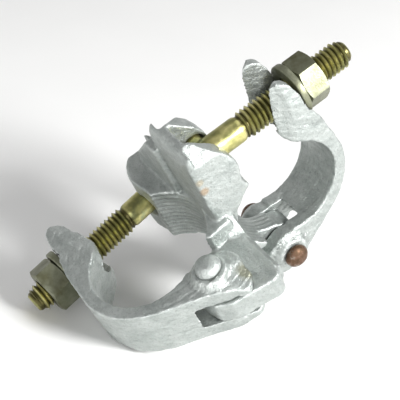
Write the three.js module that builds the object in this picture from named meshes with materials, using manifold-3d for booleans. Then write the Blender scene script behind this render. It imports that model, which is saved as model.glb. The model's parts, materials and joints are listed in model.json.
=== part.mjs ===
// Right-angle scaffold coupler: a drop-forged body with two saddles set back to back
// at 90 degrees, and on each side a hinged flap, a rivet, a T-bolt, a washer and a nut.
//
// Working frame (before the coupler is laid down): X runs from the left tube to the
// right tube, the left tube runs along Z and the right tube along Y. Every piece is
// shaped for the left side, and the right side is the same set of pieces after half a
// turn about the line y = z, which takes (x, y, z) to (-x, z, y).
import * as THREE from 'three';
import { mergeVertices } from 'three/addons/utils/BufferGeometryUtils.js';
import Module from 'manifold-3d';

const wasm = await Module();
wasm.setup();

// ---------------------------------------------------------------- driving sizes, mm
const TUBE_D = 48.3;            // scaffold tube
const TUBE_FIT = 0.25;          // radial room between tube and saddle
const TUBE_OFFSET = 29.4;       // tube axis from the plane between the two tubes
const SADDLE_LEN = 31;          // saddle length along the tube
const SADDLE_TOP_DEG = 62;      // upper lip of the saddle, angle about the tube axis
const SADDLE_END_DEG = -49;     // lower lip
const GAP = 0.3;                // air between neighbouring pieces
const DRAFT = 0.6;              // bevel on the forged edges

const PIN_X = -21.3;            // hinge pin
const PIN_Y = -35.6;
const PIN_R = 4;
const RIVET_HEAD_R = 6.2;
const RIVET_HEAD_H = 4.6;

const FLAP_W = 28.4;            // flap width along the tube
const FLAP_WALL = 6.5;          // band thickness behind the tube
const FLAP_TIP_W = 26;          // width over the two tines at their tips
const TINE_FLARE = 2.4;         // how far the bolt slot opens out on each side at its mouth
const TINE_FACET = 4;           // how far the outer edge of each tine is planed off toward the tube
const FORK_FLOOR = 24.6;        // bottom of the bolt slot in the flap
const TONGUE_W = 12.4;          // body tongue between the flap's ears
const TONGUE_NOSE_R = 10.4;     // tongue end about the pin
const CLEVIS_R = 16.2;          // floor of the flap's clevis about the pin
const EAR_TAIL = 17.6;          // reach of the ears past the pin
const EAR_R = 11.6;             // ear outline about the pin
const EAR_TIP_W = 20;           // width over the ears at their ends
const BOSS_R = 7.6;             // tapered boss under each rivet head
const BOSS_H = 3.4;

const EAR_W = 33;               // body fork width over its two ears
const EAR_TOP = 57.5;           // reach of the ears from the tube plane
const EAR_FLOOR = 27;           // bottom of the bolt slot in the body
const EAR_CHAMFER = 7.5;        // slope at the outer top edge of each ear
const EAR_BACK = 4.6;           // back of the ears, just clear of the other tube
const WEB = 15.4;               // block between the two forks
const LOWER_WEB = 8.6;          // plate between the two tongues

const PIVOT_X = -9;             // T-bolt head
const PIVOT_Y = 37.4;
const HEAD_R = 5.4;
const HEAD_LEN = 26;
const BOLT_LEN = 80.5;          // head axis to bolt tip
const THREAD_R = 6.8;
const SHANK_R = 6.2;
const THREAD_START = 19.5;
const BOLT_FIT = 0.9;           // radial room of the bolt in its slots
const WASHER_R = 13;
const WASHER_T = 3.4;
const NUT_AF = 22;
const NUT_H = 11;
const SEAT_X = -44.6;           // centre of the washer's seat in the flap
const SEAT_Y = 40.7;
const SEAT_DEG = 171;           // direction the seat faces
const SEAT_FIT = 1;             // radial room round the washer in its seat
const SEAT_RAMP_DEG = 10;       // turn of the flap that the washer's way out of the seat allows for

// flap opening and bolt swing in degrees; reach of the body's ears toward the tube
const LEFT = { open: 17.2, swing: 6.5, reach: 19 };
const RIGHT = { open: 8.8, swing: 2.1, reach: 16.6 };
// turns that lay the coupler down on its side
const LAID_DOWN_DEG = [20.9, -20.62, 35.57];

// ---------------------------------------------------------------- small helpers
const rad = (deg) => (deg * Math.PI) / 180;
const BORE_R = TUBE_D / 2 + TUBE_FIT;
const TUBE_X = -TUBE_OFFSET;

function polar(cx, cy, r, deg) {
  return [cx + r * Math.cos(rad(deg)), cy + r * Math.sin(rad(deg))];
}

function arc(cx, cy, r, from, to, steps) {
  return Array.from({ length: steps + 1 }, (_, i) =>
    polar(cx, cy, r, from + ((to - from) * i) / steps));
}

// Passes a smooth open curve through the points.
function smooth(points, perSpan = 3) {
  const curve = new THREE.SplineCurve(points.map(([x, y]) => new THREE.Vector2(x, y)));
  return curve.getPoints((points.length - 1) * perSpan).map((p) => [p.x, p.y]);
}

function solid(geometry, matrix) {
  let g = geometry.index ? geometry.toNonIndexed() : geometry.clone();
  g.deleteAttribute('normal');
  g.deleteAttribute('uv');
  if (matrix) g.applyMatrix4(matrix);
  g = mergeVertices(g, 1e-4);
  return new wasm.Manifold(new wasm.Mesh({
    numProp: 3,
    vertProperties: Float32Array.from(g.attributes.position.array),
    triVerts: Uint32Array.from(g.index.array),
  }));
}

const at = (x, y, z) => new THREE.Matrix4().makeTranslation(x, y, z);

// A plate of the given outline, centred on z = 0, with bevelled edges.
function plate(outline, width, bevel = 0, z = 0) {
  const corners = outline.filter(([x, y], i) => {
    const [px, py] = outline[(i + outline.length - 1) % outline.length];
    return Math.hypot(x - px, y - py) > 0.05;
  });
  const shape = new THREE.Shape(corners.map(([x, y]) => new THREE.Vector2(x, y)));
  const depth = width - 2 * bevel;
  return solid(new THREE.ExtrudeGeometry(shape, {
    depth,
    bevelEnabled: bevel > 0,
    bevelThickness: bevel,
    bevelSize: bevel,
    bevelOffset: -bevel,
    bevelSegments: 1,
    curveSegments: 12,
  }), at(0, 0, z - depth / 2));
}

function block(x0, x1, y0, y1, z0, z1) {
  return solid(new THREE.BoxGeometry(x1 - x0, y1 - y0, z1 - z0),
    at((x0 + x1) / 2, (y0 + y1) / 2, (z0 + z1) / 2));
}

// A round bar along Z or along X.
function bar(r, length, x, y, z, axis = 'z', sides = 40) {
  const turn = new THREE.Matrix4();
  if (axis === 'z') turn.makeRotationX(Math.PI / 2);
  else turn.makeRotationZ(Math.PI / 2);
  return solid(new THREE.CylinderGeometry(r, r, length, sides), at(x, y, z).multiply(turn));
}

// A turned shape about X from [x, r] pairs; it starts and ends on the axis or closes on itself.
function turned(profile, sides = 40) {
  const points = profile.map(([x, r]) => new THREE.Vector2(r, x));
  return solid(new THREE.LatheGeometry(points, sides),
    new THREE.Matrix4().makeRotationZ(-Math.PI / 2).multiply(
      new THREE.Matrix4().makeRotationY(0.01)));
}

// Puts a shape turned about X on the hinge pin.
function acrossPin(shape) {
  const turn = new THREE.Matrix4().makeRotationY(-Math.PI / 2);
  return shape.transform([...at(PIN_X, PIN_Y, 0).multiply(turn).elements]);
}

// Stands a plate drawn in x and z across the fork, running along y from one place to another.
function alongFork(outline, from, to) {
  const turn = new THREE.Matrix4().makeRotationX(Math.PI / 2);
  return plate(outline, to - from).transform([...at(0, (from + to) / 2, 0).multiply(turn).elements]);
}

function piece(name, shape, look) {
  const mesh = shape.getMesh();
  const g = new THREE.BufferGeometry();
  g.setAttribute('position', new THREE.BufferAttribute(mesh.vertProperties.slice(), 3));
  g.setIndex(new THREE.BufferAttribute(mesh.triVerts.slice(), 1));
  g.computeVertexNormals();
  const part = new THREE.Mesh(g, new THREE.MeshStandardMaterial(look));
  part.name = name;
  return part;
}

const GALVANISED = { color: 0xa9adab, roughness: 0.48, metalness: 0.85 };
const PASSIVATED = { color: 0xa08f4e, roughness: 0.36, metalness: 0.9 };
const RUSTED = { color: 0x7a5134, roughness: 0.62, metalness: 0.55 };

// ---------------------------------------------------------------- body forging
function bodySide(reach) {
  const lipX = polar(TUBE_X, 0, BORE_R, SADDLE_TOP_DEG);
  const saddle = [
    [1, lipX[1]],
    lipX,
    ...arc(TUBE_X, 0, BORE_R, SADDLE_TOP_DEG, SADDLE_END_DEG, 28),
    polar(TUBE_X, 0, BORE_R + 3, SADDLE_END_DEG),
    [1, -19.6],
  ];

  const fork = [
    [1, 12],
    [EAR_BACK, 22], [EAR_BACK, EAR_TOP - 9],
    ...smooth([
      [EAR_BACK, EAR_TOP - 8], [2.6, EAR_TOP - 1.2], [-3, EAR_TOP], [8.6 - reach, EAR_TOP - 5],
      [3.2 - reach, EAR_TOP - 11], [-reach, EAR_TOP - 19], [0.4 - reach, EAR_FLOOR + 5],
      [1.4 - reach, EAR_FLOOR],
    ]).slice(1),
    ...arc(TUBE_X, 0, BORE_R, SADDLE_TOP_DEG - 1, 35, 8),
  ];

  const tongue = [
    [2.6, -12], [-8.6, -12],
    ...arc(TUBE_X, 0, BORE_R + 0.2, -34, -76, 12),
    ...arc(PIN_X, PIN_Y, TONGUE_NOSE_R, 106, 200, 12),
    [-29.4, -45], [-23, -49.6], [-14.6, -51], [-8, -52.4], [-2.6, -53.6], [1, -52], [2.6, -47],
  ];

  return plate(saddle, SADDLE_LEN, DRAFT).add(plate(fork, EAR_W, DRAFT)).add(plate(tongue, TONGUE_W, DRAFT));
}

// What the bolt, its head and the hinge pin need cut away on one side.
function bodySideCuts() {
  const slotHalf = SHANK_R + BOLT_FIT;
  const slotEnd = PIVOT_X + slotHalf;
  const outside = -40;
  let cuts = block(outside, slotEnd, EAR_FLOOR + slotHalf, 80, -slotHalf, slotHalf)
    .add(bar(slotHalf, slotEnd - outside, (outside + slotEnd) / 2, EAR_FLOOR + slotHalf, 0, 'x'))
    .add(bar(HEAD_R + GAP, HEAD_LEN + 2 * GAP, PIVOT_X, PIVOT_Y, 0))
    .add(bar(PIN_R + GAP, 60, PIN_X, PIN_Y, 0));
  // slope along the outer top edge of each ear, drawn in z and y and run along x
  for (const side of [1, -1]) {
    const z = (side * EAR_W) / 2;
    const along = new THREE.Matrix4().makeBasis(
      new THREE.Vector3(0, 0, 1), new THREE.Vector3(0, 1, 0), new THREE.Vector3(-1, 0, 0));
    const slope = plate([[z + side, EAR_TOP - EAR_CHAMFER - 1], [z + side, EAR_TOP + 2],
      [z - side * (EAR_CHAMFER + 2), EAR_TOP + 2]], 40);
    cuts = cuts.add(slope.transform([...at(-19, 0, 0).multiply(along).elements]));
  }
  return cuts;
}

function body() {
  const turn = new THREE.Matrix4().makeRotationAxis(new THREE.Vector3(0, 1, 1).normalize(), Math.PI);
  const other = (shape) => shape.transform([...turn.elements]);
  const left = bodySide(LEFT.reach);
  const cuts = bodySideCuts();
  // plates standing on the plane between the tubes: their outlines are given in y and z
  const standing = (outline, width) => {
    const stand = new THREE.Matrix4().makeBasis(
      new THREE.Vector3(0, 1, 0), new THREE.Vector3(0, 0, 1), new THREE.Vector3(1, 0, 0));
    return plate(outline, width, 0.8).transform([...stand.elements]);
  };
  const earSide = EAR_W / 2;
  const root = earSide - 4;
  // the block's top runs on from the slopes of the ears, so the two forks share one flat
  const slope = earSide + EAR_TOP - EAR_CHAMFER - 0.3;
  const end = EAR_TOP - 12.5;
  const crown = [[end, root], [end, slope - end], [slope - end, end], [root, end]];
  const gusset = standing([[root, root], ...crown], WEB);
  // skirt from the front of each fork down to the tongue of the other side
  const skirt = [
    ...smooth([[0.3 - earSide, 30], [0.2 - earSide, 17], [-19.4, 9], [-26, 4.8], [-35, 3.4], [-48, 4.5]]),
    [-48, -4],
  ];
  const swapped = skirt.map(([y, z]) => [z, y]).reverse();
  const foot = standing([...skirt, [-14, -14], ...swapped, [30, 30]], LOWER_WEB);
  return left.add(other(bodySide(RIGHT.reach))).add(gusset).add(foot).subtract(cuts).subtract(other(cuts));
}

// ---------------------------------------------------------------- flap
function flap() {
  const outer = smooth([
    [-33.8, 58.8], [-38, 57.2], [-41.2, 52.8], [-43.6, 47.4], [-46, 41.6], [-49.2, 35.4],
    [-52.1, 29.2], [-55, 21.6], [-57.6, 14], [TUBE_X - BORE_R - FLAP_WALL, 5.6],
    [TUBE_X - BORE_R - FLAP_WALL, -2.6], [-59.2, -10], [-56.2, -16.6], [-52.2, -22.2], [-47.2, -27.4],
    [-41, -33], [-34.6, -38.8], [-29, -44.4],
  ]);
  const ears = arc(PIN_X + 2, PIN_Y - 2, EAR_R, 228, 440, 26);
  const tail = smooth([[-23.6, -49.4], polar(PIN_X, PIN_Y, EAR_TAIL, 276), polar(PIN_X, PIN_Y, EAR_TAIL, 290),
    [-11.4, -49]], 4);
  const inner = [
    ...arc(TUBE_X, 0, BORE_R, -82, -247, 44),
    ...smooth([[-38, 23.4], [-34.2, 25.6], [-31.4, 29.4], [-29.8, 34.4], [-28.8, 40.6], [-28.6, 46],
      [-29.2, 52], [-30.6, 57]]),
  ];
  const band = plate([...outer, ...tail.slice(0, 1), [-20, -42], [-20, -32], ...inner], FLAP_W, DRAFT);
  const earPlate = plate(ears, FLAP_W, DRAFT);
  const tailPlate = plate([[-30.6, -40], ...tail, [-9.8, -42], [-16, -32]], FLAP_W, DRAFT);

  const slotHalf = THREAD_R + BOLT_FIT;
  const clevisHalf = TONGUE_W / 2 + GAP;
  const clevis = plate([
    ...arc(PIN_X, PIN_Y, CLEVIS_R, 128, 236, 16), [-20, -64], [0, -64], [0, -16], [-20, -16],
  ], 2 * clevisHalf);
  // the outer faces of the ears and of the tines run in toward their ends
  const taper = (x0, y0, deg, reach, drop) => [1, -1].map((side) => {
    const wedge = plate([[0, 0], [reach, -drop], [reach + 20, -drop], [reach + 20, 20], [0, 20]], 80);
    const m = new THREE.Matrix4().makeTranslation(x0, y0, (side * FLAP_W) / 2)
      .multiply(new THREE.Matrix4().makeRotationZ(rad(deg)))
      .multiply(new THREE.Matrix4().makeRotationX(Math.PI / 2))
      .multiply(new THREE.Matrix4().makeScale(1, side, 1));
    return wedge.transform([...m.elements]);
  });
  const bossTop = FLAP_W / 2 + BOSS_H;
  const boss = acrossPin(turned([
    [-bossTop, 0], [-bossTop, BOSS_R], [1 - FLAP_W / 2, BOSS_R + BOSS_H], [FLAP_W / 2 - 1, BOSS_R + BOSS_H],
    [bossTop, BOSS_R], [bossTop, 0],
  ], 32));
  // the bolt slot opens out toward the tube, and the outer edge of each tine is planed off there
  const slotFloor = FORK_FLOOR + slotHalf;
  const wide = slotHalf + 2 * TINE_FLARE;
  const flare = [[-36, -slotHalf], [-22, -wide], [-22, wide], [-36, slotHalf]];
  const mouth = alongFork(flare, slotFloor, slotFloor + 34);
  const facets = [1, -1].map((side) => {
    const z = side * (FLAP_W / 2 + 0.2);
    const planed = z - side * 1.5 * TINE_FACET;
    const outline = [[-38, z], [-26, planed], [-20, planed], [-20, 1.5 * z], [-38, 1.5 * z]];
    return alongFork(side > 0 ? outline : outline.reverse(), 18, 70);
  });
  let shape = band.add(earPlate).add(tailPlate)
    .add(boss)
    .subtract(clevis)
    .subtract(bar(BORE_R, 80, TUBE_X, 0, 0, 'z', 96))
    .subtract(block(-80, 0, slotFloor, 90, -slotHalf, slotHalf))
    .subtract(bar(slotHalf, 80, -50, slotFloor, 0, 'x'))
    .subtract(bar(PIN_R + GAP, 80, PIN_X, PIN_Y, 0))
    .subtract(mouth);
  // the washer sits in a flat round seat across the two tines, and leaves it down a ramp as the flap turns
  const seat = bar(WASHER_R + SEAT_FIT, 40, 20, 0, 0, 'x', 36).transform([...at(SEAT_X, SEAT_Y, 0)
    .multiply(new THREE.Matrix4().makeRotationZ(rad(SEAT_DEG))).elements]);
  for (let turn = 0; turn <= SEAT_RAMP_DEG; turn += 1.25) {
    const ramp = at(PIN_X, PIN_Y, 0).multiply(new THREE.Matrix4().makeRotationZ(rad(turn)))
      .multiply(at(-PIN_X, -PIN_Y, 0));
    shape = shape.subtract(seat.transform([...ramp.elements]));
  }
  const tapers = [
    ...taper(PIN_X + 2, PIN_Y - 8, -72, 9, (FLAP_W - EAR_TIP_W) / 2),
    ...taper(-38, 43, 75, 14, (FLAP_W - FLAP_TIP_W) / 2),
  ];
  for (const cut of [...tapers, ...facets]) shape = shape.subtract(cut);
  return shape;
}

// ---------------------------------------------------------------- rivet, T-bolt, washer, nut
function rivet() {
  const face = FLAP_W / 2 + BOSS_H + GAP;
  const n = 5;
  const dome = Array.from({ length: n + 1 }, (_, i) => {
    const a = (i / n) * (Math.PI / 2);
    return [face + RIVET_HEAD_H * Math.sin(a), RIVET_HEAD_R * Math.cos(a)];
  });
  const half = [...dome.slice(0, n), [face + RIVET_HEAD_H, 0]];
  const profile = [
    ...half.map(([x, r]) => [-x, r]).reverse(),
    [-face, PIN_R], [face, PIN_R],
    ...half,
  ];
  return acrossPin(turned(profile, 28));
}

function tBolt() {
  const shank = turned([
    [0, 0], [0, SHANK_R], [THREAD_START - 1, SHANK_R], [THREAD_START, THREAD_R],
    [BOLT_LEN - 1.6, THREAD_R], [BOLT_LEN, THREAD_R - 1.6], [BOLT_LEN, 0],
  ]);
  return bar(HEAD_R, HEAD_LEN, 0, 0, 0).add(shank);
}

function washer() {
  return turned([
    [0, THREAD_R + GAP], [0, WASHER_R - 0.4], [0.4, WASHER_R], [WASHER_T - 0.4, WASHER_R],
    [WASHER_T, WASHER_R - 0.4], [WASHER_T, THREAD_R + GAP], [0, THREAD_R + GAP],
  ], 48);
}

function nut() {
  const cornerR = NUT_AF / 2 / Math.cos(Math.PI / 6);
  const hex = solid(new THREE.CylinderGeometry(cornerR, cornerR, NUT_H, 6),
    at(NUT_H / 2, 0, 0).multiply(new THREE.Matrix4().makeRotationZ(Math.PI / 2)));
  const edge = NUT_AF / 2 + 0.2;
  const rise = (cornerR - edge) * 0.55;
  const envelope = turned([
    [0, 0], [0, edge], [rise, cornerR + 0.2], [NUT_H - rise, cornerR + 0.2], [NUT_H, edge], [NUT_H, 0],
  ], 48);
  return hex.intersect(envelope).subtract(bar(THREAD_R + GAP, 60, 0, 0, 0, 'x'));
}

// ---------------------------------------------------------------- assembly
const flapShape = flap();

// How far from the head's axis the washer sits when it meets the opened flap.
function seatOn(flapMatrix, boltMatrix) {
  const toBolt = boltMatrix.clone().invert().multiply(flapMatrix);
  const under = flapShape.transform([...toBolt.elements])
    .intersect(bar(WASHER_R, BOLT_LEN, BOLT_LEN / 2, 0, 0, 'x', 48));
  return under.boundingBox().max[0] + GAP;
}

function side(prefix, pose) {
  const group = new THREE.Group();

  const flapGroup = new THREE.Group();
  flapGroup.position.set(PIN_X, PIN_Y, 0);
  flapGroup.rotation.z = rad(pose.open);
  const flapPiece = piece(`${prefix}_flap`, flapShape, GALVANISED);
  flapPiece.position.set(-PIN_X, -PIN_Y, 0);
  flapGroup.add(flapPiece);

  const boltGroup = new THREE.Group();
  boltGroup.position.set(PIVOT_X, PIVOT_Y, 0);
  boltGroup.rotation.z = Math.PI + rad(pose.swing);
  boltGroup.add(piece(`${prefix}_t_bolt`, tBolt(), PASSIVATED));
  group.add(flapGroup, boltGroup);
  group.updateMatrixWorld(true);
  const seat = seatOn(flapPiece.matrixWorld, boltGroup.matrixWorld);
  const washerPiece = piece(`${prefix}_washer`, washer(), PASSIVATED);
  washerPiece.position.x = seat;
  const nutPiece = piece(`${prefix}_nut`, nut(), PASSIVATED);
  nutPiece.position.x = seat + WASHER_T + GAP;
  boltGroup.add(washerPiece, nutPiece);

  group.add(piece(`${prefix}_hinge_rivet`, rivet(), prefix === 'right' ? RUSTED : GALVANISED));
  return group;
}

const coupler = new THREE.Group();
coupler.add(piece('body_forging', body(), GALVANISED));
coupler.add(side('left', LEFT));
const right = side('right', RIGHT);
right.quaternion.setFromAxisAngle(new THREE.Vector3(0, 1, 1).normalize(), Math.PI);
coupler.add(right);

coupler.rotation.set(...LAID_DOWN_DEG.map(rad), 'XYZ');
coupler.updateMatrixWorld(true);
const box = new THREE.Box3().setFromObject(coupler, true);
coupler.position.set(-(box.min.x + box.max.x) / 2, -(box.min.y + box.max.y) / 2, -box.min.z);

const scaffoldCoupler = new THREE.Group();
scaffoldCoupler.add(coupler);
export default scaffoldCoupler;
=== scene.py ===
import json
from math import atan2, cos, hypot, pi, radians, sin, tan

import bmesh
import bpy
from mathutils import Matrix, Vector, noise


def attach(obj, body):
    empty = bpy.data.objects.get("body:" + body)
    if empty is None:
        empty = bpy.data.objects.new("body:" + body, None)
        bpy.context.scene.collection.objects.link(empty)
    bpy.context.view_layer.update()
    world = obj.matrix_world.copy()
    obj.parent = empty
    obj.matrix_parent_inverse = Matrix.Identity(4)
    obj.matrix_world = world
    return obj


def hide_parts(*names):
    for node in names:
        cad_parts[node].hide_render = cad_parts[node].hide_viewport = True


bl_info = {
    "name": "Right-angle Scaffold Coupler",
    "version": (1, 0, 0),
    "blender": (4, 5, 0),
    "location": "3D View > Sidebar > Coupler",
    "description": "Drop-forged right-angle coupler with hinged flaps and swinging T-bolts",
    "category": "Object",
}

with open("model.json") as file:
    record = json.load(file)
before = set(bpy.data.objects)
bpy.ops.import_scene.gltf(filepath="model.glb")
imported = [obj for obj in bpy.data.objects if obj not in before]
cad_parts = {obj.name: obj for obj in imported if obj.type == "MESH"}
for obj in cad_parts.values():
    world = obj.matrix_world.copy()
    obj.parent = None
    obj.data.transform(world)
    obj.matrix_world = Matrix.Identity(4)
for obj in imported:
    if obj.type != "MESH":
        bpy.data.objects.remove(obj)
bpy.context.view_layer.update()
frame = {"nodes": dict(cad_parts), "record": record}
MM = 0.001
SIDES = ("left", "right")
TUBE_R = 24.15 * MM
TUBE_FROM_HINGE = Vector((-8.1 * MM, 35.6 * MM, 0))      # tube axis seen from the hinge, in a half's frame
SADDLE_ROOM = 0.25 * MM          # radial room between the tube and a saddle
GRIP_BAND = 1.1 * MM             # how near the saddle a point counts as part of it
GRIP_HALF = 15.4 * MM            # half of the length the ridges cover along the tube
RIVET_PIN_R = 3.9 * MM
RIVET_HEAD_H = 4.6 * MM
HEAD_BAR_R = 5.3 * MM            # T-head, a round bar across the fork
THREAD_START = 19.5 * MM         # along the bolt from the T-head's axis
THREADED_PART = (40 * MM, 200 * MM)      # where along the bolt the CAD shows its crest radius
THREAD_SIDES = 26.0              # steps in one turn of the helix
WASHER_BORE = 7.05 * MM
NUT_BORE = 6.95 * MM
NUT_CHAMFER_DEG = 28
CAMERA_PLACE = Vector((5.59, -441.12, 309.95)) * MM
CAMERA_AIM = Vector((5.71, 4.96, 53.46)) * MM
CAMERA_ROLL_DEG = 1.48
JOINTS = {joint["name"]: joint for joint in frame["record"]["behaviour"]["joints"]}


# ---------------------------------------------------------------- places taken from the frame
def joint_axis(name):
    return Vector(JOINTS[name]["axis"]).normalized()


def joint_place(name):
    return Vector(JOINTS[name]["pos_m"])


def node_points(name):
    return [v.co for v in frame["nodes"][name].data.vertices]


def span_along(name, origin, axis):
    """Lowest and highest place of a CAD node along an axis through the origin."""
    places = [(p - origin).dot(axis) for p in node_points(name)]
    return min(places), max(places)


def radius_about(name, origin, axis, low=-1.0, high=1.0):
    """Largest distance of a CAD node from an axis, between two places along it."""
    spans = [((p - origin).dot(axis), p) for p in node_points(name)]
    return max(((p - origin) - axis * s).length for s, p in spans if low < s < high)


def half_frame(side):
    """Frame of one half: Z along its tube, Y from the hinge to the T-bolt, X away from its tube."""
    z = joint_axis(f"{side}_flap_hinge")
    across = joint_axis("left_flap_hinge").cross(joint_axis("right_flap_hinge"))
    x = -across if side == "left" else across
    y = z.cross(x)
    turn = Matrix((x, y, z)).transposed().to_4x4()
    return Matrix.Translation(joint_place(f"{side}_flap_hinge")) @ turn


def bolt_frame(side):
    """Frame of a T-bolt: origin on the head's axis, X along the shank, Z along the head."""
    x = joint_axis(f"{side}_washer_slide")
    z = joint_axis(f"{side}_bolt_swing")
    turn = Matrix((x, z.cross(x), z)).transposed().to_4x4()
    return Matrix.Translation(joint_place(f"{side}_bolt_swing")) @ turn


# ---------------------------------------------------------------- settings
class CouplerSizes(bpy.types.PropertyGroup):
    forging_grain: bpy.props.FloatProperty(
        name="Forging grain", description="Size of the cells the forged skins are built from",
        default=0.55 * MM, min=0.3 * MM, subtype="DISTANCE", unit="LENGTH")
    edge_rounds: bpy.props.IntProperty(
        name="Edge rounding", description="Smoothing passes that round the forged edges", default=12, min=0)
    scale_depth: bpy.props.FloatProperty(
        name="Scale depth", description="Depth of the shallow hammered dents in the forged skin",
        default=0.3 * MM, min=0, subtype="DISTANCE", unit="LENGTH")
    streak_depth: bpy.props.FloatProperty(
        name="Streak depth", description="Depth of the forging streaks round the flaps",
        default=0.24 * MM, min=0, subtype="DISTANCE", unit="LENGTH")
    grip_pitch: bpy.props.FloatProperty(
        name="Grip ridge pitch", description="Spacing of the ridges across each saddle",
        default=2.6 * MM, min=1 * MM, subtype="DISTANCE", unit="LENGTH")
    grip_depth: bpy.props.FloatProperty(
        name="Grip ridge depth", description="Depth of the grooves between the ridges of a saddle",
        default=0.35 * MM, min=0, subtype="DISTANCE", unit="LENGTH")
    thread_pitch: bpy.props.FloatProperty(
        name="Thread pitch", description="Advance of the bolt thread in one turn",
        default=2.4 * MM, min=0.5 * MM, subtype="DISTANCE", unit="LENGTH")
    thread_depth: bpy.props.FloatProperty(
        name="Thread depth", description="Height of the thread above its core",
        default=1.35 * MM, min=0.2 * MM, subtype="DISTANCE", unit="LENGTH")


class CouplerFinish(bpy.types.PropertyGroup):
    zinc: bpy.props.StringProperty(
        name="Galvanised zinc", description="Weathered hot-dip zinc", default="#CFD4D1")
    zinc_dull: bpy.props.StringProperty(
        name="Dull zinc", description="Zinc that has gone matt and grey", default="#A0A7A4")
    # Painted shade: the dark colour below is painted into the hollows of the zinc parts, where shade falls.
    painted_hollow_shade: bpy.props.StringProperty(
        name="Hollow_shade", description="Painted_shade held in hollows and around the hinge", default="#4C4F4A")
    gold: bpy.props.StringProperty(
        name="Yellow passivate", description="Gold tone of the passivated plating", default="#C9C285")
    olive: bpy.props.StringProperty(
        name="Olive passivate", description="Olive tone of the passivated plating", default="#84855A")
    olive_grey: bpy.props.StringProperty(
        name="Olive-grey plate", description="Duller film on the nuts and washers", default="#7C7E69")
    rust: bpy.props.StringProperty(
        name="Rust", description="Thin brown rust", default="#6B5140")
    floor: bpy.props.StringProperty(
        name="Floor", description="Pale floor under the coupler", default="#F4F4F3")


# ---------------------------------------------------------------- materials
STAINS = (                      # centre in mm, radius in mm, colour, strength
    ((7.7, -25.8, 75.1), 2.6, "#B48D5E", 0.55),
    ((5.5, -27.8, 80.0), 2.2, "#B9A277", 0.4),
    ((26.3, -43.7, 47.8), 5.0, "#77754F", 0.55),
)


def linear(hex_colour):
    """sRGB hex to the linear RGBA that shader sockets take."""
    values = [int(hex_colour[i:i + 2], 16) / 255 for i in (1, 3, 5)]
    return [v / 12.92 if v <= 0.04045 else ((v + 0.055) / 1.055) ** 2.4 for v in values] + [1.0]


def add(tree, kind, inputs=None, **settings):
    """Adds a node, sets its properties, then fills each input with a value or links a socket to it."""
    made = tree.nodes.new(kind)
    for key, value in settings.items():
        setattr(made, key, value)
    for key, value in (inputs or {}).items():
        if isinstance(value, bpy.types.NodeSocket):
            tree.links.new(value, made.inputs[key])
        else:
            made.inputs[key].default_value = value
    return made


def new_material(name):
    material = bpy.data.materials.new(name)
    material.use_nodes = True
    material.node_tree.nodes.clear()
    return material, material.node_tree


def ramp(tree, factor, stops):
    made = add(tree, "ShaderNodeValToRGB", {"Fac": factor})
    elements = made.color_ramp.elements
    while len(elements) < len(stops):
        elements.new(0.5)
    for element, (place, value) in zip(elements, stops):
        element.position = place
        element.color = value if isinstance(value, list) else (value, value, value, 1)
    return made.outputs["Color"]


def mix(tree, factor, first, second):
    return add(tree, "ShaderNodeMix", {0: factor, 6: first, 7: second}, data_type="RGBA").outputs[2]


def grain(tree, size, detail=3.0, rough=0.55, stretch=None):
    """Noise on Object coordinates with features of about the given size in metres."""
    place = add(tree, "ShaderNodeTexCoord").outputs["Object"]
    if stretch:
        place = add(tree, "ShaderNodeMapping", {"Vector": place, "Scale": stretch}).outputs[0]
    made = add(tree, "ShaderNodeTexNoise",
               {"Vector": place, "Scale": 1 / size, "Detail": detail, "Roughness": rough})
    return made.outputs["Fac"]


def finish_surface(tree, colour, rough, height, bump_depth, **constants):
    bump = add(tree, "ShaderNodeBump", {"Height": height, "Strength": 1.0, "Distance": bump_depth})
    shader = add(tree, "ShaderNodeBsdfPrincipled",
                 {"Base Color": colour, "Roughness": rough, "Normal": bump.outputs[0]})
    for key, value in constants.items():
        shader.inputs[key.replace("_", " ")].default_value = value
    add(tree, "ShaderNodeOutputMaterial", {"Surface": shader.outputs[0]})


def stain_spot(tree, centre, radius, ragged=0.35):
    """1 at the centre of a ragged patch, 0 outside it."""
    place = add(tree, "ShaderNodeTexCoord").outputs["Object"]
    away = add(tree, "ShaderNodeVectorMath", {0: place, 1: centre}, operation="DISTANCE").outputs["Value"]
    edge = add(tree, "ShaderNodeMath", {0: grain(tree, 2.2 * MM, 4), 1: ragged * 2 * radius},
               operation="MULTIPLY").outputs[0]
    reach = add(tree, "ShaderNodeMath", {0: away, 1: edge}, operation="ADD").outputs[0]
    return add(tree, "ShaderNodeMapRange", {
        "Value": reach, "From Min": radius * (0.55 + ragged), "From Max": radius * (1.1 + ragged),
        "To Min": 1.0, "To Max": 0.0}).outputs[0]


def shade_hollows(tree, colour, shade_colour, stops):
    """Painted shade: mixes a dark colour into hollows, where the surface is concave and shade falls."""
    hollow = add(tree, "ShaderNodeNewGeometry").outputs["Pointiness"]
    return mix(tree, ramp(tree, hollow, stops), linear(shade_colour), colour)


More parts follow.
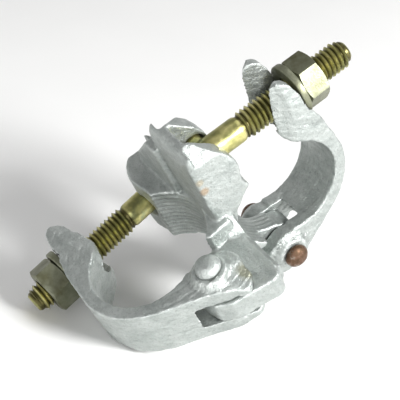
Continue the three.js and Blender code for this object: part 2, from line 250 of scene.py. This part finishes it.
def galvanised_material(finish):
    """Hot-dip zinc on a forging: soft silver-grey, cloudy in places, with a finely pitted matt skin."""
    material, tree = new_material("hot_dip_galvanised_steel")
    clouds = grain(tree, 14 * MM, 4, 0.6)
    mottle = grain(tree, 3.2 * MM, 3, 0.6)
    pits = grain(tree, 0.8 * MM, 3, 0.65)
    streaks = grain(tree, 5 * MM, 4, 0.6, stretch=(1.0, 0.35, 2.2))
    tone = add(tree, "ShaderNodeMath", {0: clouds, 1: streaks}, operation="ADD").outputs[0]
    tone = add(tree, "ShaderNodeMath", {0: tone, 1: 0.5}, operation="MULTIPLY").outputs[0]
    colour = ramp(tree, tone, [(0.3, linear(finish.zinc_dull)), (0.7, linear(finish.zinc))])
    flecks = ramp(tree, pits, [(0.3, 0.7), (0.44, 0.95), (0.62, 1.0)])
    colour = add(tree, "ShaderNodeMix", {0: 1.0, 6: colour, 7: flecks}, data_type="RGBA",
                 blend_type="MULTIPLY").outputs[2]
    # Painted shade: the zinc turns to the dark hollow colour where the surface is concave.
    colour = shade_hollows(tree, colour, finish.painted_hollow_shade, [(0.4, 0.0), (0.49, 0.85), (0.56, 1.0)])
    # Painted highlight: convex edges are lightened towards near-white by pointiness.
    edges = ramp(tree, add(tree, "ShaderNodeNewGeometry").outputs["Pointiness"], [(0.52, 0.0), (0.6, 0.7)])
    colour = mix(tree, edges, colour, linear("#E6E9E7"))
    for centre, radius, tint, strength in STAINS:
        spot = stain_spot(tree, Vector(centre) * MM, radius * MM)
        amount = add(tree, "ShaderNodeMath", {0: spot, 1: strength}, operation="MULTIPLY").outputs[0]
        colour = mix(tree, amount, colour, linear(tint))
    rough = ramp(tree, mottle, [(0.3, 0.5), (0.7, 0.34)])
    height = add(tree, "ShaderNodeMath", {0: pits, 1: mottle}, operation="ADD").outputs[0]
    finish_surface(tree, colour, rough, height, 0.3 * MM, Metallic=0.8)
    return material


def passivated_material(finish):
    """Zinc plate with a yellow chromate film: gold, olive where the film is thick, and painted shade in the
    thread roots.
    """
    material, tree = new_material("yellow_passivated_zinc_plate")
    film = grain(tree, 9 * MM, 3, 0.6)
    fine = grain(tree, 1.1 * MM, 3, 0.6)
    colour = ramp(tree, film, [(0.34, linear(finish.olive)), (0.47, linear("#A3A066")),
                               (0.6, linear(finish.gold)), (0.72, linear("#A9AE84"))])
    # Painted shade: the thread roots are darkened towards dark olive by their depth in the thread.
    roots = add(tree, "ShaderNodeAttribute", attribute_name="thread_root").outputs["Fac"]
    colour = mix(tree, ramp(tree, roots, [(0.2, 0.0), (0.85, 0.85)]), colour, linear("#4A4426"))
    rough = ramp(tree, fine, [(0.35, 0.42), (0.65, 0.28)])
    finish_surface(tree, colour, rough, fine, 0.05 * MM, Metallic=0.85)
    return material


def olive_plate_material(finish):
    """Olive-grey chromate film on the nuts and washers, duller than the bolts, with faint machining grain."""
    material, tree = new_material("olive_passivated_zinc_plate")
    film = grain(tree, 8 * MM, 3, 0.6)
    fine = grain(tree, 0.9 * MM, 3, 0.6)
    colour = ramp(tree, film, [(0.34, linear("#66664E")), (0.52, linear(finish.olive_grey)),
                               (0.7, linear("#8F927E"))])
    # Painted shade: the hollows of the nuts and washers turn to a dark olive where the surface is concave.
    colour = shade_hollows(tree, colour, "#3B3926", [(0.42, 0.0), (0.49, 0.9), (0.56, 1.0)])
    rough = ramp(tree, fine, [(0.35, 0.5), (0.65, 0.36)])
    finish_surface(tree, colour, rough, fine, 0.06 * MM, Metallic=0.8)
    return material


def rusted_material(finish):
    """Upset rivet end with thin brown rust over bare steel, rubbed brighter in places."""
    material, tree = new_material("rusted_rivet_steel")
    patches = grain(tree, 3.2 * MM, 4, 0.65)
    fine = grain(tree, 0.6 * MM, 4, 0.7)
    colour = ramp(tree, patches, [(0.36, linear("#54412F")), (0.52, linear(finish.rust)),
                                  (0.66, linear("#8F877C"))])
    rough = ramp(tree, patches, [(0.38, 0.55), (0.64, 0.34)])
    finish_surface(tree, colour, rough, fine, 0.1 * MM, Metallic=0.75)
    return material


def floor_material(finish):
    """Smooth pale board with a faint unevenness."""
    material, tree = new_material("pale_matt_board")
    clouds = grain(tree, 120 * MM, 2)
    colour = ramp(tree, clouds, [(0.3, linear("#F1F1F0")), (0.7, linear(finish.floor))])
    finish_surface(tree, colour, 0.7, clouds, 0.02 * MM, Metallic=0.0)
    return material


def shared_material(make):
    """Each finish is made once and used by every piece that has it."""
    finish = bpy.context.scene.coupler_finish
    key = make.__name__
    if key not in shared_material.made:
        shared_material.made[key] = make(finish)
    return shared_material.made[key]


shared_material.made = {}


# ---------------------------------------------------------------- mesh helpers
def add_object(name, mesh):
    obj = bpy.data.objects.new(name, mesh)
    bpy.context.collection.objects.link(obj)
    return obj


def bake_modifiers(obj):
    """Replaces the object's mesh with its evaluated result and clears its modifiers."""
    bpy.context.view_layer.update()
    depsgraph = bpy.context.evaluated_depsgraph_get()
    mesh = bpy.data.meshes.new_from_object(obj.evaluated_get(depsgraph))
    obj.modifiers.clear()
    old, obj.data = obj.data, mesh
    bpy.data.meshes.remove(old)
    mesh.name = obj.name


def shade(obj, material, crease_deg=None):
    for polygon in obj.data.polygons:
        polygon.use_smooth = True
    if crease_deg:
        obj.data.set_sharp_from_angle(angle=radians(crease_deg))
    obj.data.materials.clear()
    obj.data.materials.append(material)


def lathe(bm, matrix, profile, sides=48, wave=None):
    """Turns a profile of (x, r) points about X; wave may move a point at an angle.

    A point on the axis makes one vertex. A profile that does not start on the axis closes on itself.
    """
    rings = []
    for x, r in profile:
        if r < 1e-9:
            rings.append([bm.verts.new(matrix @ Vector((x, 0, 0)))])
            continue
        ring = []
        for i in range(sides):
            a = 2 * pi * i / sides
            px, pr = wave(x, r, a) if wave else (x, r)
            ring.append(bm.verts.new(matrix @ Vector((px, pr * cos(a), pr * sin(a)))))
        rings.append(ring)
    pairs = list(zip(rings, rings[1:]))
    if len(rings[0]) > 1:
        pairs.append((rings[-1], rings[0]))
    for one, two in pairs:
        for i in range(sides):
            corners = [one[i % len(one)], one[(i + 1) % len(one)], two[(i + 1) % len(two)], two[i % len(two)]]
            corners = [c for k, c in enumerate(corners) if c not in corners[:k]]
            if len(corners) > 2:
                bm.faces.new(corners)


def mesh_from(name, bm):
    bmesh.ops.recalc_face_normals(bm, faces=bm.faces)
    mesh = bpy.data.meshes.new(name)
    bm.to_mesh(mesh)
    bm.free()
    return add_object(name, mesh)


def round_corner(x, r, radius, start_deg, steps=4):
    """Quarter-round of [x, r] points with its centre at (x, r)."""
    return [(x + radius * cos(radians(start_deg + 90 * i / steps)),
             r + radius * sin(radians(start_deg + 90 * i / steps))) for i in range(steps + 1)]


# ---------------------------------------------------------------- forged pieces
def forged_skin(node, name):
    """A copy of a CAD forging with rounded edges and fillets, as a die leaves them."""
    sizes = bpy.context.scene.coupler_sizes
    bm = bmesh.new()
    bm.from_mesh(frame["nodes"][node].data)
    bmesh.ops.remove_doubles(bm, verts=bm.verts, dist=1e-6)
    mesh = bpy.data.meshes.new(name)
    bm.to_mesh(mesh)
    bm.free()
    obj = add_object(name, mesh)
    remesh = obj.modifiers.new("skin", "REMESH")
    remesh.mode = "VOXEL"
    remesh.voxel_size = sizes.forging_grain
    smooth = obj.modifiers.new("rounding", "SMOOTH")
    smooth.factor = 0.6
    smooth.iterations = sizes.edge_rounds
    bake_modifiers(obj)
    return obj


def sink_dents(obj, depth, size):
    """Shallow dents of a hammered surface with a finer scale over them, all of them inward."""
    normals = [v.normal.copy() for v in obj.data.vertices]
    for v, normal in zip(obj.data.vertices, normals):
        height = noise.fractal(v.co / size, 1.0, 2.0, 3)
        scale = noise.noise(v.co / (size * 0.28))
        v.co -= normal * depth * min(1.2, max(0.0, 0.5 + height + 0.35 * scale))


def sink_streaks(obj, half, depth):
    """Shallow streaks of a drawn-out forging, running round the outside of a flap's band."""
    back = half.inverted()
    normals = [v.normal.copy() for v in obj.data.vertices]
    for v, normal in zip(obj.data.vertices, normals):
        p = back @ v.co - TUBE_FROM_HINGE
        r = hypot(p.x, p.y)
        fade = min(1.0, max(0.0, (r - TUBE_R - 1.5 * MM) / (2 * MM)))
        round_way = atan2(p.y, p.x) * TUBE_R
        place = Vector((r / (1.6 * MM), round_way / (9 * MM), p.z / (1.8 * MM)))
        height = 0.5 + noise.fractal(place, 1.0, 2.0, 2)
        v.co -= normal * depth * fade * min(1.0, max(0.0, height))


def cut_grip_ridges(obj, half, pitch, depth):
    """Ridges round each saddle, set along the tube."""
    back = half.inverted()
    radius = TUBE_R + SADDLE_ROOM
    for v in obj.data.vertices:
        p = back @ v.co - TUBE_FROM_HINGE
        r = hypot(p.x, p.y)
        if abs(r - radius) < GRIP_BAND and abs(p.z) < GRIP_HALF and p.x > 0:
            wave = 0.5 - 0.5 * cos(2 * pi * p.z / pitch)
            fade = min(1.0, (GRIP_BAND - abs(r - radius)) / (0.5 * MM))
            push = depth * wave * fade
            v.co += half.to_3x3() @ Vector((p.x / r, p.y / r, 0)) * push


class COUPLER_OT_body(bpy.types.Operator):
    """Builds the central forging with its two saddles"""

    bl_idname = "coupler.body"
    bl_label = "Body Forging"

    def execute(self, context):
        sizes = context.scene.coupler_sizes
        obj = forged_skin("body_forging", "body_forging_skin")
        sink_dents(obj, sizes.scale_depth, 7 * MM)
        for side in SIDES:
            cut_grip_ridges(obj, half_frame(side), sizes.grip_pitch, sizes.grip_depth)
        shade(obj, shared_material(galvanised_material))
        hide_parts("body_forging")
        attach(obj, "coupler_body")
        return {"FINISHED"}


class COUPLER_OT_flaps(bpy.types.Operator):
    """Builds the two hinged flaps"""

    bl_idname = "coupler.flaps"
    bl_label = "Hinged Flaps"

    def execute(self, context):
        sizes = context.scene.coupler_sizes
        for side in SIDES:
            obj = forged_skin(f"{side}_flap", f"{side}_flap_skin")
            sink_dents(obj, sizes.scale_depth, 5 * MM)
            sink_streaks(obj, half_frame(side), sizes.streak_depth)
            shade(obj, shared_material(galvanised_material))
            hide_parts(f"{side}_flap")
            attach(obj, f"{side}_flap")
        return {"FINISHED"}


class COUPLER_OT_rivets(bpy.types.Operator):
    """Builds the two hinge rivets with their domed ends"""

    bl_idname = "coupler.rivets"
    bl_label = "Hinge Rivets"

    def execute(self, context):
        for side in SIDES:
            node = f"{side}_hinge_rivet"
            z = joint_axis(f"{side}_flap_hinge")
            place = joint_place(f"{side}_flap_hinge")
            low, high = span_along(node, place, z)
            place, half = place + z * (low + high) / 2, (high - low) / 2
            head_r = radius_about(node, place, z) - 0.05 * MM
            face = half - RIVET_HEAD_H
            dome = [(face + 0.02 * MM, RIVET_PIN_R), (face + 0.02 * MM, head_r - 0.5 * MM)]
            dome += [(face + 0.25 * MM, head_r - 0.12 * MM), (face + 0.8 * MM, head_r)]
            steps = 9
            for i in range(1, steps):
                a = (i / steps) * pi / 2
                dome.append((face + 0.8 * MM + (RIVET_HEAD_H - 0.8 * MM) * sin(a), head_r * cos(a) ** 0.86))
            dome.append((half, 0))
            profile = [(-x, r) for x, r in reversed(dome)] + dome
            matrix = Matrix.Translation(place) @ z.to_track_quat("X", "Z").to_matrix().to_4x4()

            def uneven(x, r, a):
                lump = 0.18 * MM * sin(3 * a + 1.1) + 0.12 * MM * sin(5 * a)
                edge = max(0.0, r - RIVET_PIN_R) / (head_r - RIVET_PIN_R)
                return x, r - edge * (0.2 * MM + lump * 0.5)

            bm = bmesh.new()
            lathe(bm, matrix, profile, 48, uneven)
            obj = mesh_from(f"{node}_upset", bm)
            rusty = side == "right"
            shade(obj, shared_material(rusted_material if rusty else galvanised_material), 50)
            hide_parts(node)
            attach(obj, "coupler_body")
        return {"FINISHED"}


# ---------------------------------------------------------------- threads
def thread_tree():
    """Adds a helical ridge on a core to the bolt's own mesh, along X."""
    tree = bpy.data.node_groups.new("bolt_thread", "GeometryNodeTree")
    face = tree.interface
    face.new_socket("Geometry", in_out="INPUT", socket_type="NodeSocketGeometry")
    for label in ("Crest Radius", "Depth", "Pitch", "Start", "Length"):
        face.new_socket(label, in_out="INPUT", socket_type="NodeSocketFloat")
    face.new_socket("Material", in_out="INPUT", socket_type="NodeSocketMaterial")
    face.new_socket("Geometry", in_out="OUTPUT", socket_type="NodeSocketGeometry")
    given = add(tree, "NodeGroupInput").outputs

    def calc(operation, a, b):
        return add(tree, "ShaderNodeMath", {0: a, 1: b}, operation=operation).outputs[0]

    turns = calc("DIVIDE", given["Length"], given["Pitch"])
    points = add(tree, "FunctionNodeFloatToInt", {0: calc("MULTIPLY", turns, THREAD_SIDES)}).outputs[0]
    middle = calc("SUBTRACT", given["Crest Radius"], given["Depth"])
    spiral = add(tree, "GeometryNodeCurveSpiral", {
        "Resolution": points, "Rotations": turns, "Start Radius": middle, "End Radius": middle,
        "Height": given["Length"]}).outputs[0]
    upright = add(tree, "GeometryNodeSetCurveNormal", {"Curve": spiral}, mode="Z_UP").outputs[0]
    factor = add(tree, "GeometryNodeSplineParameter").outputs["Factor"]
    lead_in = calc("MULTIPLY", factor, turns)
    lead_out = calc("MULTIPLY", calc("SUBTRACT", 1.0, factor), turns)
    fade = add(tree, "ShaderNodeMath", {0: calc("MINIMUM", lead_in, lead_out), 1: 0.02},
               operation="ADD", use_clamp=True).outputs[0]
    curve = add(tree, "GeometryNodeSetCurveRadius", {"Curve": upright, "Radius": fade}).outputs[0]
    ridge = add(tree, "GeometryNodeCurvePrimitiveCircle", {
        "Resolution": 4, "Radius": given["Depth"]}).outputs[0]
    slim = calc("DIVIDE", calc("MULTIPLY", given["Pitch"], 0.48), given["Depth"])
    squeeze = add(tree, "ShaderNodeCombineXYZ", {"X": 1.0, "Y": slim, "Z": 1.0}).outputs[0]
    ridge = add(tree, "GeometryNodeTransform", {"Geometry": ridge, "Scale": squeeze}).outputs[0]
    thread = add(tree, "GeometryNodeCurveToMesh", {
        "Curve": curve, "Profile Curve": ridge, "Scale": fade, "Fill Caps": True}).outputs[0]
    place = add(tree, "ShaderNodeCombineXYZ", {"X": given["Start"]}).outputs[0]
    thread = add(tree, "GeometryNodeTransform", {
        "Geometry": thread, "Translation": place, "Rotation": (0, pi / 2, 0)}).outputs[0]
    joined = add(tree, "GeometryNodeJoinGeometry", {"Geometry": thread})
    tree.links.new(given["Geometry"], joined.inputs[0])
    real = add(tree, "GeometryNodeRealizeInstances", {"Geometry": joined.outputs[0]}).outputs[0]
    painted = add(tree, "GeometryNodeSetMaterial", {
        "Geometry": real, "Material": given["Material"]}).outputs[0]
    add(tree, "NodeGroupOutput", {"Geometry": painted})
    return tree


def run_tree(obj, tree, values):
    """Runs a node tree on the object with its inputs named, and keeps the result as a plain mesh."""
    modifier = obj.modifiers.new(tree.name, "NODES")
    modifier.node_group = tree
    for item in tree.interface.items_tree:
        if item.in_out == "INPUT" and item.name in values:
            modifier[item.identifier] = values[item.name]
    bake_modifiers(obj)


class COUPLER_OT_bolts(bpy.types.Operator):
    """Builds the two T-bolts with their threads"""

    bl_idname = "coupler.bolts"
    bl_label = "T-bolts"

    def execute(self, context):
        sizes = context.scene.coupler_sizes
        tree = thread_tree()
        for side in SIDES:
            node = f"{side}_t_bolt"
            place = joint_place(f"{side}_bolt_swing")
            axis = joint_axis(f"{side}_washer_slide")
            cross = joint_axis(f"{side}_bolt_swing")
            tip = span_along(node, place, axis)[1]
            head = span_along(node, place, cross)[1]
            crest = radius_about(node, place, axis, *THREADED_PART) - 0.03 * MM
            start = THREAD_START
            shank = crest - 0.65 * MM
            core = crest - sizes.thread_depth - 0.25 * MM
            head_r = HEAD_BAR_R
            bm = bmesh.new()
            profile = [(0, 0), (0, shank), (start - 1.2 * MM, shank), (start, shank - 0.15 * MM),
                       (start + 1.5 * MM, core), (tip - 1.2 * MM, core), (tip - 0.1 * MM, core - 0.9 * MM),
                       (tip, core - 1.3 * MM), (tip, 0)]
            lathe(bm, Matrix.Identity(4), profile, 40)
            cap = round_corner(head - 1.0 * MM, head_r - 1.0 * MM, 1.0 * MM, 0)
            bar = [(head, 0)] + cap
            bar = bar + [(-x, r) for x, r in reversed(bar)]
            lathe(bm, Matrix.Rotation(-pi / 2, 4, "Y"), bar, 32)
            obj = mesh_from(f"{node}_threaded", bm)
            run_tree(obj, tree, {
                "Crest Radius": crest, "Depth": sizes.thread_depth, "Pitch": sizes.thread_pitch,
                "Start": start + 1.0 * MM, "Length": tip - start - 2.6 * MM,
                "Material": shared_material(passivated_material)})
            # Depth of each point into the thread; the bolt material paints shade in the roots from it.
            roots = obj.data.attributes.new("thread_root", "FLOAT", "POINT")
            for v in obj.data.vertices:
                r = hypot(v.co.y, v.co.z)
                threaded = v.co.x > start + 1 * MM and r > core - 0.1 * MM
                roots.data[v.index].value = (crest - r) / sizes.thread_depth if threaded else 0.0
            obj.data.transform(bolt_frame(side))
            shade(obj, shared_material(passivated_material), 32)
            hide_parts(node)
            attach(obj, node)
        return {"FINISHED"}


class COUPLER_OT_nuts(bpy.types.Operator):
    """Builds the washers and the chamfered hexagon nuts"""

    bl_idname = "coupler.nuts"
    bl_label = "Nuts and Washers"

    def execute(self, context):
        for side in SIDES:
            self.make_washer(side)
            self.make_nut(side)
        return {"FINISHED"}

    def make_washer(self, side):
        node = f"{side}_washer"
        frame_of = bolt_frame(side)
        axis = joint_axis(f"{side}_washer_slide")
        low, high = span_along(node, frame_of.translation, axis)
        rim = radius_about(node, frame_of.translation, axis) - 0.05 * MM
        bore = WASHER_BORE
        r = 0.7 * MM
        c = 0.3 * MM
        profile = (round_corner(high - r, rim - r, r, 0)[::-1]
                   + round_corner(high - c, bore + c, c, 270)[::-1]
                   + round_corner(low + c, bore + c, c, 180)[::-1]
                   + round_corner(low + r, rim - r, r, 90)[::-1])
        bm = bmesh.new()
        lathe(bm, frame_of, profile, 72)
        self.place(mesh_from(f"{node}_plated", bm), node, 40)

    def make_nut(self, side):
        node = f"{side}_nut"
        frame_of = bolt_frame(side)
        axis = joint_axis(f"{side}_washer_slide")
        low, high = span_along(node, frame_of.translation, axis)
        corner = radius_about(node, frame_of.translation, axis)
        flat = corner * cos(pi / 6) - 0.02 * MM
        bore = NUT_BORE
        edge = flat - 0.25 * MM
        local = [(frame_of.inverted() @ p) for p in node_points(node)]
        far = max(local, key=lambda p: hypot(p.y, p.z))
        phase = atan2(far.z, far.y)

        def hexagon(x, r, a):
            if r < edge:
                return x, r
            turn = (a - phase) % (pi / 3) - pi / 6
            side_r = min(flat / cos(turn), corner - 0.12 * MM)
            drop = max(0.0, side_r - edge) * tan(radians(NUT_CHAMFER_DEG))
            if r > corner:
                middle = (low + high) / 2
                limit = (high - low) / 2 - drop
                return middle + max(-limit, min(limit, x - middle)), side_r
            return x, r

        levels = 8
        wall = [(low + (high - low) * i / levels, corner + 1) for i in range(levels + 1)]
        mouth = bore + 0.5 * MM
        profile = ([(low, mouth), (low, edge - 1e-5)] + wall
                   + [(high, edge - 1e-5), (high, mouth), (high - 0.7 * MM, bore), (low + 0.7 * MM, bore)])
        bm = bmesh.new()
        lathe(bm, frame_of, profile, 96, hexagon)
        bmesh.ops.remove_doubles(bm, verts=bm.verts, dist=1e-7)
        self.place(mesh_from(f"{node}_hexagon", bm), node, 24)

    def place(self, obj, node, crease):
        shade(obj, shared_material(olive_plate_material), crease)
        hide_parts(node)
        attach(obj, node)


# ---------------------------------------------------------------- stage
def area_light(name, place, aim, size, power, colour="#FFFFFF"):
    light = bpy.data.lights.new(name, "AREA")
    light.shape = "DISK"
    light.size = size
    light.energy = power
    light.color = linear(colour)[:3]
    obj = bpy.data.objects.new(name, light)
    obj.location = place
    obj.rotation_euler = (Vector(aim) - Vector(place)).to_track_quat("-Z", "Y").to_euler()
    bpy.context.collection.objects.link(obj)


class COUPLER_OT_stage(bpy.types.Operator):
    """Builds the floor, the lights and the camera"""

    bl_idname = "coupler.stage"
    bl_label = "Stage"

    def execute(self, context):
        scene = context.scene
        half = 6.0                               # metres from the middle of the floor to its edge
        corners = ((-half, -half), (half, -half), (half, half), (-half, half))
        bm = bmesh.new()
        bm.faces.new([bm.verts.new((x, y, 0)) for x, y in corners])
        floor = mesh_from("pale_floor", bm)
        floor.data.materials.append(shared_material(floor_material))
        aim = (0, 0, 0.05)
        area_light("key_softbox", (1.0, -0.75, 0.72), aim, 0.45, 34)
        area_light("front_fill", (-0.35, -1.1, 0.35), aim, 0.8, 6)
        area_light("top_sheet", (0.2, 0.3, 1.3), aim, 0.8, 3)
        world = bpy.data.worlds.new("studio")
        world.use_nodes = True
        tree = world.node_tree
        tree.nodes.clear()
        aloft = add(tree, "ShaderNodeTexCoord").outputs["Generated"]
        height = add(tree, "ShaderNodeSeparateXYZ", {"Vector": aloft}).outputs["Z"]
        sky = ramp(tree, height, [(0.0, 0.95), (0.35, 0.7), (0.75, 0.22), (1.0, 0.2)])
        light = add(tree, "ShaderNodeBackground", {"Color": sky, "Strength": 0.85}).outputs[0]
        add(tree, "ShaderNodeOutputWorld", {"Surface": light})
        scene.world = world
        scene.view_settings.view_transform = "Standard"
        data = bpy.data.cameras.new("studio_camera")
        data.sensor_width = 36
        data.lens = 101
        camera = bpy.data.objects.new("studio_camera", data)
        look = (CAMERA_AIM - CAMERA_PLACE).to_track_quat("-Z", "Y").to_matrix()
        camera.matrix_world = (Matrix.Translation(CAMERA_PLACE) @ look.to_4x4()
                               @ Matrix.Rotation(radians(CAMERA_ROLL_DEG), 4, "Z"))
        context.collection.objects.link(camera)
        scene.camera = camera
        return {"FINISHED"}


class COUPLER_PT_panel(bpy.types.Panel):
    bl_label = "Scaffold Coupler"
    bl_idname = "COUPLER_PT_panel"
    bl_space_type = "VIEW_3D"
    bl_region_type = "UI"
    bl_category = "Coupler"

    def draw(self, context):
        layout = self.layout
        for group in (context.scene.coupler_sizes, context.scene.coupler_finish):
            box = layout.box()
            for key in group.__annotations__:
                box.prop(group, key)
        for operator in OPERATORS:
            layout.operator(operator.bl_idname)


OPERATORS = (COUPLER_OT_body, COUPLER_OT_flaps, COUPLER_OT_rivets, COUPLER_OT_bolts, COUPLER_OT_nuts,
             COUPLER_OT_stage)
CLASSES = (CouplerSizes, CouplerFinish) + OPERATORS + (COUPLER_PT_panel,)


def register():
    for cls in CLASSES:
        bpy.utils.register_class(cls)
    bpy.types.Scene.coupler_sizes = bpy.props.PointerProperty(type=CouplerSizes)
    bpy.types.Scene.coupler_finish = bpy.props.PointerProperty(type=CouplerFinish)


def unregister():
    del bpy.types.Scene.coupler_finish
    del bpy.types.Scene.coupler_sizes
    for cls in reversed(CLASSES):
        bpy.utils.unregister_class(cls)


def build_coupler():
    register()
    for operator in (bpy.ops.coupler.body, bpy.ops.coupler.flaps, bpy.ops.coupler.rivets,
                     bpy.ops.coupler.bolts, bpy.ops.coupler.nuts, bpy.ops.coupler.stage):
        operator()


if __name__ == "__main__":
    build_coupler()
